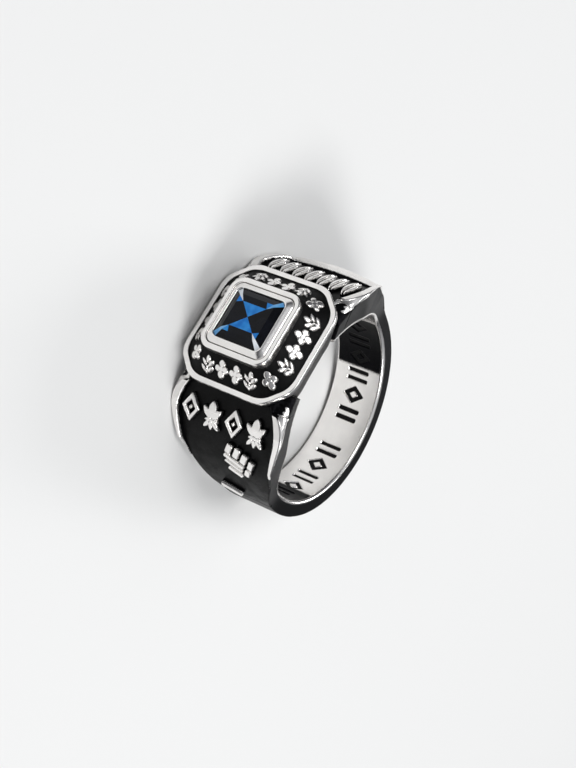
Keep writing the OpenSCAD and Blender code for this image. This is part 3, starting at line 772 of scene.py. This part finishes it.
def head_grid(shape, cols):
    """The head from the middle of the seat to the middle of its underside."""
    turn = spread(0, 2 * pi, cols, False)
    c, s = np.cos(turn)[None, :], -np.sin(turn)[None, :]
    rows, dark = [], []

    def add(reach, x, shade=0.0):
        rows.append((reach, x))
        dark.append(shade + 0 * reach)

    for half, x in collar_profile(shape):
        r = min(max(COLLAR_ROUND - (shape.collar_half - half), 0.6), half - 0.01)
        reach = rounded_reach(c, s, half, r)
        # Painted shade: the collar's groove is darkened
        groove = 3.26 < half < 3.33 and x < shape.collar_x - 0.1
        add(reach, x + 0 * reach, 0.9 if groove else 0.0)

    for t in spread(0, 1, 74):
        half = shape.collar_half + t * (shape.slope_low - shape.collar_half)
        diag = shape.collar_diag + t * (shape.slope_low_diag - shape.collar_diag)
        x = shape.slope_top_x + t * (shape.slope_x - shape.slope_top_x)
        reach = octagon_reach(c, s, half, diag)
        gap = -border_distance(shape, reach * c, reach * s)
        figure = smooth(-0.05, 0.05, gap)
        lift = (BORDER_RELIEF - dome(gap, FIGURE_DOME)) / cos(shape.slope_angle)
        add(reach, x + figure * lift, 1 - figure)

    inner, outer, top = shape.slope_low, shape.head_half, shape.head_x
    edge = [(inner + 0.02, top - 0.12)]
    edge += rounding((inner + 0.02, top - 0.12), (inner + 0.12, top), (inner + 0.02, top), 3)
    edge += [(inner + 0.12, top), (inner + 0.3, top), (outer - 0.12, top)]
    edge += rounding((outer - 0.12, top), (outer, top - 0.12), (outer, top), 4)
    edge += [(outer, top - 0.12), (outer, top - 0.3), (outer, shape.wall_x + 0.02)]
    for half, x in edge:
        reach = octagon_reach(c, s, half, shape.head_diag - (outer - half))
        add(reach, x + 0 * reach)

    low = np.full(c.shape, 8.7)
    for _ in range(8):
        half = outer - shape.wall_lean * (shape.wall_x - low)
        reach = octagon_reach(c, s, half, shape.head_diag - (outer - half))
        low = np.sqrt(shape.bore_r**2 - (reach * c) ** 2)
    for t in (0.02, 0.05, 0.15, 0.3, 0.5, 0.7, 0.9, 0.97, 1):
        x = shape.wall_x + t * (low - shape.wall_x)
        half = outer - shape.wall_lean * (shape.wall_x - x)
        reach = octagon_reach(c, s, half, shape.head_diag - (outer - half))
        # Painted dark reflection: the head's side wall is dark from below its rim nearly down to
        # the bore
        add(reach, x, 1.0 if t < 0.97 else 0.0)
    for t in (0.99, 0.96, 0.85, 0.7, 0.55, 0.4, 0.25, 0.1, 0.02, 0.01):
        y = reach * c * t
        add(reach * t, np.sqrt(shape.bore_r**2 - y * y))

    reach = np.concatenate([row[0] for row in rows])
    x = np.concatenate([row[1] for row in rows])
    points = np.stack([x, reach * c, reach * s], -1)
    return points, np.concatenate(dark)


def head_piece(name, shape):
    """The head with its border, collar and the seat of the stone."""
    points, dark = head_grid(shape, HEAD_COLUMNS)
    return tube_piece(name, points, shape, dark)


def head_enamel_piece(name, shape):
    """Enamel on the head's slope."""
    turn = spread(0, 2 * pi, 256, False)
    c, s = np.cos(turn)[None, :], -np.sin(turn)[None, :]
    t = spread(-0.01, 1.01, 24)[:, None]
    half = shape.collar_half + t * (shape.slope_low - shape.collar_half)
    diag = shape.collar_diag + t * (shape.slope_low_diag - shape.collar_diag)
    x = shape.slope_top_x + t * (shape.slope_x - shape.slope_top_x)
    reach = octagon_reach(c, s, half, diag)
    lift = shape.enamel_t / cos(shape.slope_angle)
    top = np.stack([x + lift + 0 * reach, reach * c, reach * s], -1)
    return shell_piece(name, top, top - np.array([lift - 0.04, 0, 0]), shape, True)


# Stone

# Cut corner, edge height, crown height, and the lean of the facets above and below
STONE_CUT, GIRDLE_H, CROWN_H, CROWN_LEAN = 0.36, 0.1, 0.4, 1.7
PAVILION_H, PAVILION_LEAN, FOOT_CUT = 2.3, 0.95, 0.1
# The star of painted light on the table: half its middle, and where its arms begin and end
STAR_CORE, STAR_NEAR, STAR_WIDE = 1.3, 1.05, 1.72


def stone_piece(name, shape):
    """Square cut stone; each facet is a flat face with the tone it shows, painted reflection and
    light seen through the stone.
    """
    half, leg, low = shape.stone_w / 2, STONE_CUT, shape.girdle_x
    high, top = low + GIRDLE_H, low + GIRDLE_H + CROWN_H
    inset = CROWN_LEAN * CROWN_H
    table = half - inset
    table_leg = max(leg - inset * (2 - sqrt(2)), 0.08)
    core, near, wide = STAR_CORE, STAR_NEAR, STAR_WIDE
    points, faces, tones = [], [], []

    def corner(x, h, a, sy, sz):
        """Two points of a cut corner, the one nearer the y side first."""
        return [(x, sy * h, sz * (h - a)), (x, sy * (h - a), sz * h)]

    def add(tone, polygon):
        start = len(points)
        points.extend(polygon)
        p = np.array(polygon)
        n = np.cross(p[1] - p[0], p[2] - p[0])
        order = list(range(start, start + len(polygon)))
        if np.dot(n, p.mean(0) - np.array([low - 0.6, 0, 0])) < 0:
            order.reverse()
        faces.append(order)
        tones.append(tone)

    # Painted reflections: the tones that each quadrant's arm and star facets show
    quadrants = [(1, 1, "white", "dark", "blue"), (-1, -1, "white", "dark", "blue"),
                 (1, -1, "light", "blue", "dark"), (-1, 1, "light", "blue", "dark")]
    for sy, sz, arm, first, second in quadrants:
        inner = (top, sy * core, sz * core)
        q1, q2 = corner(top, table, table - near, sy, sz)
        k1, k2 = corner(top, table, table - wide, sy, sz)
        t1, t2 = corner(top, table, table_leg, sy, sz)
        h1, h2 = corner(high, half, leg, sy, sz)
        l1, l2 = corner(low, half, leg, sy, sz)
        add(arm, [inner, k1, t1, t2, k2])
        add(arm, [t1, h1, h2, t2])
        add(first, [inner, q1, k1])
        add(second, [inner, q2, k2])
        for tone, q, k, t, h in ((first, q1, k1, t1, h1), (second, q2, k2, t2, h2)):
            add(arm, [k, t, h])
            add("dark", [q, k, h])
        add("dark", [h1, l1, l2, h2])
    side = half - leg
    for sy in (1, -1):
        for axis in (0, 1):
            def at(x, out, along):
                return (x, out, along) if axis == 0 else (x, along, out)
            add("blue" if axis == 0 else "dark",
                [(top, 0, 0), at(top, sy * core, core), at(top, sy * core, -core)])
            add("dark", [at(top, sy * core, core), at(top, sy * table, near),
                         at(top, sy * table, -near), at(top, sy * core, -core)])
            add("dark", [at(top, sy * table, near), at(high, sy * half, side),
                         at(high, sy * half, -side), at(top, sy * table, -near)])
            add("dark", [at(high, sy * half, side), at(low, sy * half, side),
                         at(low, sy * half, -side), at(high, sy * half, -side)])
    bottom, foot = low - PAVILION_H, half - PAVILION_LEAN * PAVILION_H
    ring_high = [p for sy, sz in ((1, 1), (-1, 1), (-1, -1), (1, -1))
                 for p in corner(low, half, leg, sy, sz)[:: sy * sz]]
    ring_low = [p for sy, sz in ((1, 1), (-1, 1), (-1, -1), (1, -1))
                for p in corner(bottom, foot, FOOT_CUT, sy, sz)[:: sy * sz]]
    for i in range(8):
        j = (i + 1) % 8
        add("dark", [ring_high[i], ring_high[j], ring_low[j], ring_low[i]])
    add("dark", ring_low)
    matrix = tilt_matrix(shape)
    mesh = bpy.data.meshes.new(name)
    mesh.from_pydata((np.array(points) @ matrix.T).tolist(), [], faces)
    names = list(STONE_TONES)
    for tone in names:
        mesh.materials.append(finish_of("stone_" + tone))
    mesh.polygons.foreach_set("material_index", [names.index(t) for t in tones])
    mesh.validate()
    mesh.update()
    piece = bpy.data.objects.new(name, mesh)
    bpy.context.scene.collection.objects.link(piece)
    merge_points(piece)
    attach(piece, "root")
    return piece


def merge_points(piece):
    """Joins points that coincide, so that the solid is closed."""
    work = bmesh.new()
    work.from_mesh(piece.data)
    bmesh.ops.remove_doubles(work, verts=work.verts, dist=1e-7)
    bmesh.ops.recalc_face_normals(work, faces=work.faces)
    work.to_mesh(piece.data)
    work.free()


# Finishes

class Value:
    """A shader socket. Arithmetic on it adds Math nodes."""

    def __init__(self, finish, socket):
        self.finish = finish
        self.socket = socket

    def math(self, operation, first, second):
        return self.finish.add(
            "ShaderNodeMath", {"operation": operation}, {0: first, 1: second}
        )

    def __add__(self, other):
        return self.math("ADD", self, other)

    def __mul__(self, other):
        return self.math("MULTIPLY", self, other)

    def __sub__(self, other):
        return self.math("SUBTRACT", self, other)

    __radd__ = __add__

    def soft(self, low, high):
        """0 below low and 1 above high, smoothly."""
        return self.finish.add(
            "ShaderNodeMapRange",
            {"interpolation_type": "SMOOTHSTEP"},
            {"Value": self, "From Min": low, "From Max": high},
        )


class Finish:
    """A procedural material under a Principled shader."""

    def __init__(self, name, tree=None):
        if tree is None:
            self.material = bpy.data.materials.new(name)
            self.material.use_nodes = True
            tree = self.material.node_tree
        self.tree = tree
        tree.nodes.clear()

    def add(self, kind, settings=None, values=None, out=0):
        """Adds a node: its settings first, then the values or links of its sockets."""
        node = self.tree.nodes.new(kind)
        for key, value in (settings or {}).items():
            setattr(node, key, value)
        for key, value in (values or {}).items():
            self.put(node.inputs[key], value)
        return Value(self, node.outputs[out])

    def put(self, socket, value):
        if isinstance(value, Value):
            self.tree.links.new(value.socket, socket)
        elif hasattr(value, "__len__"):
            value = tuple(value)
            wants = len(socket.default_value)
            socket.default_value = value if len(value) == wants else value + (1.0,)
        else:
            socket.default_value = value

    def mix(self, factor, first, second):
        """Mix of two colours."""
        node = self.tree.nodes.new("ShaderNodeMix")
        node.data_type = "RGBA"
        self.put(node.inputs["Factor"], factor)
        colours = [s for s in node.inputs if s.type == "RGBA"]
        self.put(colours[0], first)
        self.put(colours[1], second)
        return Value(self, next(s for s in node.outputs if s.type == "RGBA"))

    def place(self, stretch=(1, 1, 1)):
        """Point on the piece, in metres, stretched along the axes."""
        spot = self.add("ShaderNodeTexCoord", out="Object")
        return self.add("ShaderNodeMapping", {}, {"Vector": spot, "Scale": stretch})

    def noise(self, size_mm, detail=2.0, stretch=(1, 1, 1)):
        """Noise with features of about a size in millimetres, from 0 to 1."""
        return self.add(
            "ShaderNodeTexNoise",
            {},
            {"Vector": self.place(stretch), "Scale": 1 / (size_mm * MM), "Detail": detail},
        )

    def bump(self, height, strength, distance_mm):
        return self.add(
            "ShaderNodeBump",
            {},
            {"Height": height, "Strength": strength, "Distance": distance_mm * MM},
        )

    def principled(self, values):
        """Ends the material with a Principled shader."""
        shader = self.add("ShaderNodeBsdfPrincipled", {}, values, "BSDF")
        self.add_output("ShaderNodeOutputMaterial", shader)
        return self.material

    def add_output(self, kind, shader):
        node = self.tree.nodes.new(kind)
        self.tree.links.new(shader.socket, node.inputs["Surface"])


def colours():
    """The scene's colours of the ring."""
    return bpy.context.scene.ring_colours


def silver_finish():
    """Polished cast metal, darkened where the mesh says so: blackened in its hollows, and painted
    shade and dark reflection elsewhere.
    """
    f = Finish("polished_silver")
    dark = f.add("ShaderNodeAttribute", {"attribute_name": "darkened"}, {}, "Fac")
    cloud = f.noise(1.6, 3.0)
    grain = f.noise(0.12, 2.0)
    scratch = f.noise(0.25, 2.0, (1, 6, 1)).soft(0.35, 0.75)
    # Dark metal where the mesh's darkened value is high: blackening in the hollows and painted
    # shade
    black = (dark * 1.15 + (grain - 0.5) * 0.25).soft(0.4, 0.6)
    satin = (dark * -1).soft(0.2, 0.8)
    worn = f.mix(cloud.soft(0.3, 0.7), colours().silver, tuple(c * 0.93 for c in colours().silver))
    blackening_and_shade = f.mix(grain.soft(0.5, 0.8), colours().dark, tuple(c * 3 for c in colours().dark))
    return f.principled({
        "Base Color": f.mix(black, worn, blackening_and_shade),
        "Metallic": 1.0,
        "Roughness": 0.17 + cloud * 0.07 + scratch * 0.04 + black * 0.25 + satin * 0.3,
        "Normal": f.bump(cloud + grain * 0.08 + scratch * 0.05, 0.35, 0.02),
    })


def enamel_finish():
    """Black enamel with a fine grey speckle."""
    f = Finish("fired_enamel")
    speck = f.noise(0.16, 4.0).soft(0.56, 0.72)
    patch = f.noise(1.1, 2.0).soft(0.35, 0.75)
    grey = tuple(c * 6 for c in colours().enamel)
    return f.principled({
        "Base Color": f.mix(speck * (0.3 + patch * 0.7), colours().enamel, grey),
        "Roughness": 0.42 + patch * 0.16,
        "Specular IOR Level": 0.12,
        "Normal": f.bump(speck, 0.4, 0.02),
    })


def stone_finish(name, low, high, rough=0.04):
    """One tone of the stone's facets, painted reflection and light seen through it, uneven across
    the facet.
    """
    f = Finish("stone_" + name)
    cloud = f.noise(0.9, 1.5).soft(0.3, 0.7)
    return f.principled({
        "Base Color": f.mix(cloud, low, high),
        "Roughness": rough + cloud * 0.04,
        "Specular IOR Level": 0.15,
        "Coat Weight": 0.05,
        "Coat Roughness": 0.02,
    })


# Two colours of each tone that a facet can have: painted light in the stone, from a white glint
# through blues to dark reflection
STONE_TONES = {
    "dark": ((0.001, 0.0015, 0.003), (0.004, 0.005, 0.009)),
    "blue": ((0.012, 0.18, 0.62), (0.035, 0.30, 0.78)),
    "light": ((0.10, 0.36, 0.74), (0.28, 0.56, 0.86)),
    "white": ((0.80, 0.86, 0.92), (0.95, 0.97, 1.0)),
}
FINISHES = {"polished_silver": silver_finish, "fired_enamel": enamel_finish}
for tone_name, tone_colours in STONE_TONES.items():
    FINISHES["stone_" + tone_name] = partial(stone_finish, tone_name, *tone_colours)


def finish_of(name):
    """The material of a name, made once."""
    return bpy.data.materials.get(name) or FINISHES[name]()


def dress(piece, finish, slot, *nodes):
    """Gives a piece its finish and hides the CAD solids that it stands for."""
    if finish:
        piece.data.materials.append(finish_of(finish))
    if nodes:
        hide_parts(*nodes)


def current_shape():
    """The shape that the scene's sizes give."""
    return Shape(bpy.context.scene.ring_sizes)


# Operators

class RING_OT_band(bpy.types.Operator):
    """Makes the two shoulders and the plain band"""

    bl_idname = "ring.band"
    bl_label = "Band"

    def execute(self, context):
        shape = current_shape()
        near = shoulder_piece("near_shoulder", shape, near_distance, False)
        dress(near, "polished_silver", "silver", "ring_body")
        far = shoulder_piece("far_shoulder", shape, far_distance, True)
        dress(far, "polished_silver", "silver")
        dress(lower_band_piece("lower_band", shape), "polished_silver", "silver")
        return {"FINISHED"}


class RING_OT_head(bpy.types.Operator):
    """Makes the head with its border and collar"""

    bl_idname = "ring.head"
    bl_label = "Head"

    def execute(self, context):
        dress(head_piece("head", current_shape()), "polished_silver", "silver")
        return {"FINISHED"}


class RING_OT_enamel(bpy.types.Operator):
    """Makes the black enamel of the head, the shoulders and the engraving"""

    bl_idname = "ring.enamel"
    bl_label = "Enamel"

    def execute(self, context):
        shape = current_shape()
        dress(field_enamel_piece("near_field", shape, False), "fired_enamel", "black_enamel",
              "near_enamel")
        dress(field_enamel_piece("far_field", shape, True), "fired_enamel", "black_enamel",
              "far_enamel")
        dress(head_enamel_piece("head_field", shape), "fired_enamel", "black_enamel", "head_enamel")
        dress(engraving_piece("engraved_marks", shape), "fired_enamel", "black_enamel",
              "engraving_enamel")
        return {"FINISHED"}


class RING_OT_stone(bpy.types.Operator):
    """Makes the square stone"""

    bl_idname = "ring.stone"
    bl_label = "Stone"

    def execute(self, context):
        dress(stone_piece("square_stone", current_shape()), None, "stone", "stone")
        return {"FINISHED"}


CAMERA_PLACE = (0.102084, 0.034599, 0.081038)
CAMERA_RIGHT = (-0.44651, -0.48845, 0.74969)
CAMERA_DOWN = (-0.49369, 0.83327, 0.24887)
CAMERA_LENS = 63.38
# Name, place, size in metres and power in watts
LIGHTS = (
    ("key", (-0.05, 0.28, 0.34), 0.16, 0.95),
    ("rim", (-0.30, -0.22, 0.22), 0.14, 0.5),
    ("top", (0.16, -0.10, 0.40), 0.2, 0.65),
)
SKY_LOW, SKY_HIGH = (0.04, 0.04, 0.045), (0.46, 0.47, 0.49)
FLOOR_REACH = 1.5


class RING_OT_stage(bpy.types.Operator):
    """Makes the floor, the lights and the camera"""

    bl_idname = "ring.stage"
    bl_label = "Stage"

    def execute(self, context):
        floor_height = CAD_BOX[0][2]
        mesh = bpy.data.meshes.new("studio_floor")
        reach = FLOOR_REACH
        corners = [(-reach, -reach, floor_height), (reach, -reach, floor_height),
                   (reach, reach, floor_height), (-reach, reach, floor_height)]
        mesh.from_pydata(corners, [], [(0, 1, 2, 3)])
        floor = bpy.data.objects.new("studio_floor", mesh)
        context.scene.collection.objects.link(floor)
        f = Finish("studio_floor")
        tone = colours().floor
        f.principled({
            "Base Color": f.mix(f.noise(30), tone, tuple(c * 0.99 for c in tone)),
            "Roughness": 0.75,
        })
        mesh.materials.append(f.material)
        for lamp in LIGHTS:
            self.light(context, *lamp)
        world = bpy.data.worlds.new("studio")
        world.use_nodes = True
        context.scene.world = world
        w = Finish("studio", world.node_tree)
        up = w.add("ShaderNodeTexCoord", out="Generated")
        height = w.add("ShaderNodeSeparateXYZ", {}, {0: up}, "Z").soft(0.05, 0.9)
        sky = w.add("ShaderNodeBackground", {}, {
            "Color": w.mix(height, SKY_LOW, SKY_HIGH), "Strength": 1.0,
        })
        w.add_output("ShaderNodeOutputWorld", sky)
        context.scene.view_settings.view_transform = "Standard"
        self.camera(context)
        return {"FINISHED"}

    def light(self, context, name, place, size, power):
        """Adds a square lamp that faces the ring."""
        data = bpy.data.lights.new(name, "AREA")
        data.shape = "SQUARE"
        data.size = size
        data.energy = power
        lamp = bpy.data.objects.new(name, data)
        lamp.location = place
        lamp.rotation_euler = (-Vector(place)).to_track_quat("-Z", "Y").to_euler()
        context.scene.collection.objects.link(lamp)

    def camera(self, context):
        """Adds the camera at the photo's angle to the ring."""
        data = bpy.data.cameras.new("camera")
        data.lens = CAMERA_LENS
        data.clip_start = 0.005
        camera = bpy.data.objects.new("camera", data)
        right, up = Vector(CAMERA_RIGHT), -Vector(CAMERA_DOWN)
        back = right.cross(up)
        turn = Matrix((right, up, back)).transposed().to_4x4()
        camera.matrix_world = Matrix.Translation(CAMERA_PLACE) @ turn
        context.scene.collection.objects.link(camera)
        context.scene.camera = camera


OPERATORS = (RING_OT_band, RING_OT_head, RING_OT_enamel, RING_OT_stone, RING_OT_stage)


class RING_PT_panel(bpy.types.Panel):
    """Lists the ring's sizes, colours and operators"""

    bl_label = "Class ring"
    bl_idname = "RING_PT_panel"
    bl_space_type = "VIEW_3D"
    bl_region_type = "UI"
    bl_category = "Ring"

    def draw(self, context):
        for group in (context.scene.ring_sizes, context.scene.ring_colours):
            box = self.layout.box()
            for name in type(group).__annotations__:
                box.prop(group, name)
        for operator in OPERATORS:
            self.layout.operator(operator.bl_idname)


CLASSES = (RingSizes, RingColours) + OPERATORS + (RING_PT_panel,)


def register():
    for cls in CLASSES:
        bpy.utils.register_class(cls)
    bpy.types.Scene.ring_sizes = PointerProperty(type=RingSizes)
    bpy.types.Scene.ring_colours = PointerProperty(type=RingColours)


def unregister():
    del bpy.types.Scene.ring_sizes
    del bpy.types.Scene.ring_colours
    for cls in reversed(CLASSES):
        bpy.utils.unregister_class(cls)


def main():
    register()
    bpy.ops.ring.band()
    bpy.ops.ring.head()
    bpy.ops.ring.enamel()
    bpy.ops.ring.stone()
    bpy.ops.ring.stage()


if __name__ == "__main__":
    main()
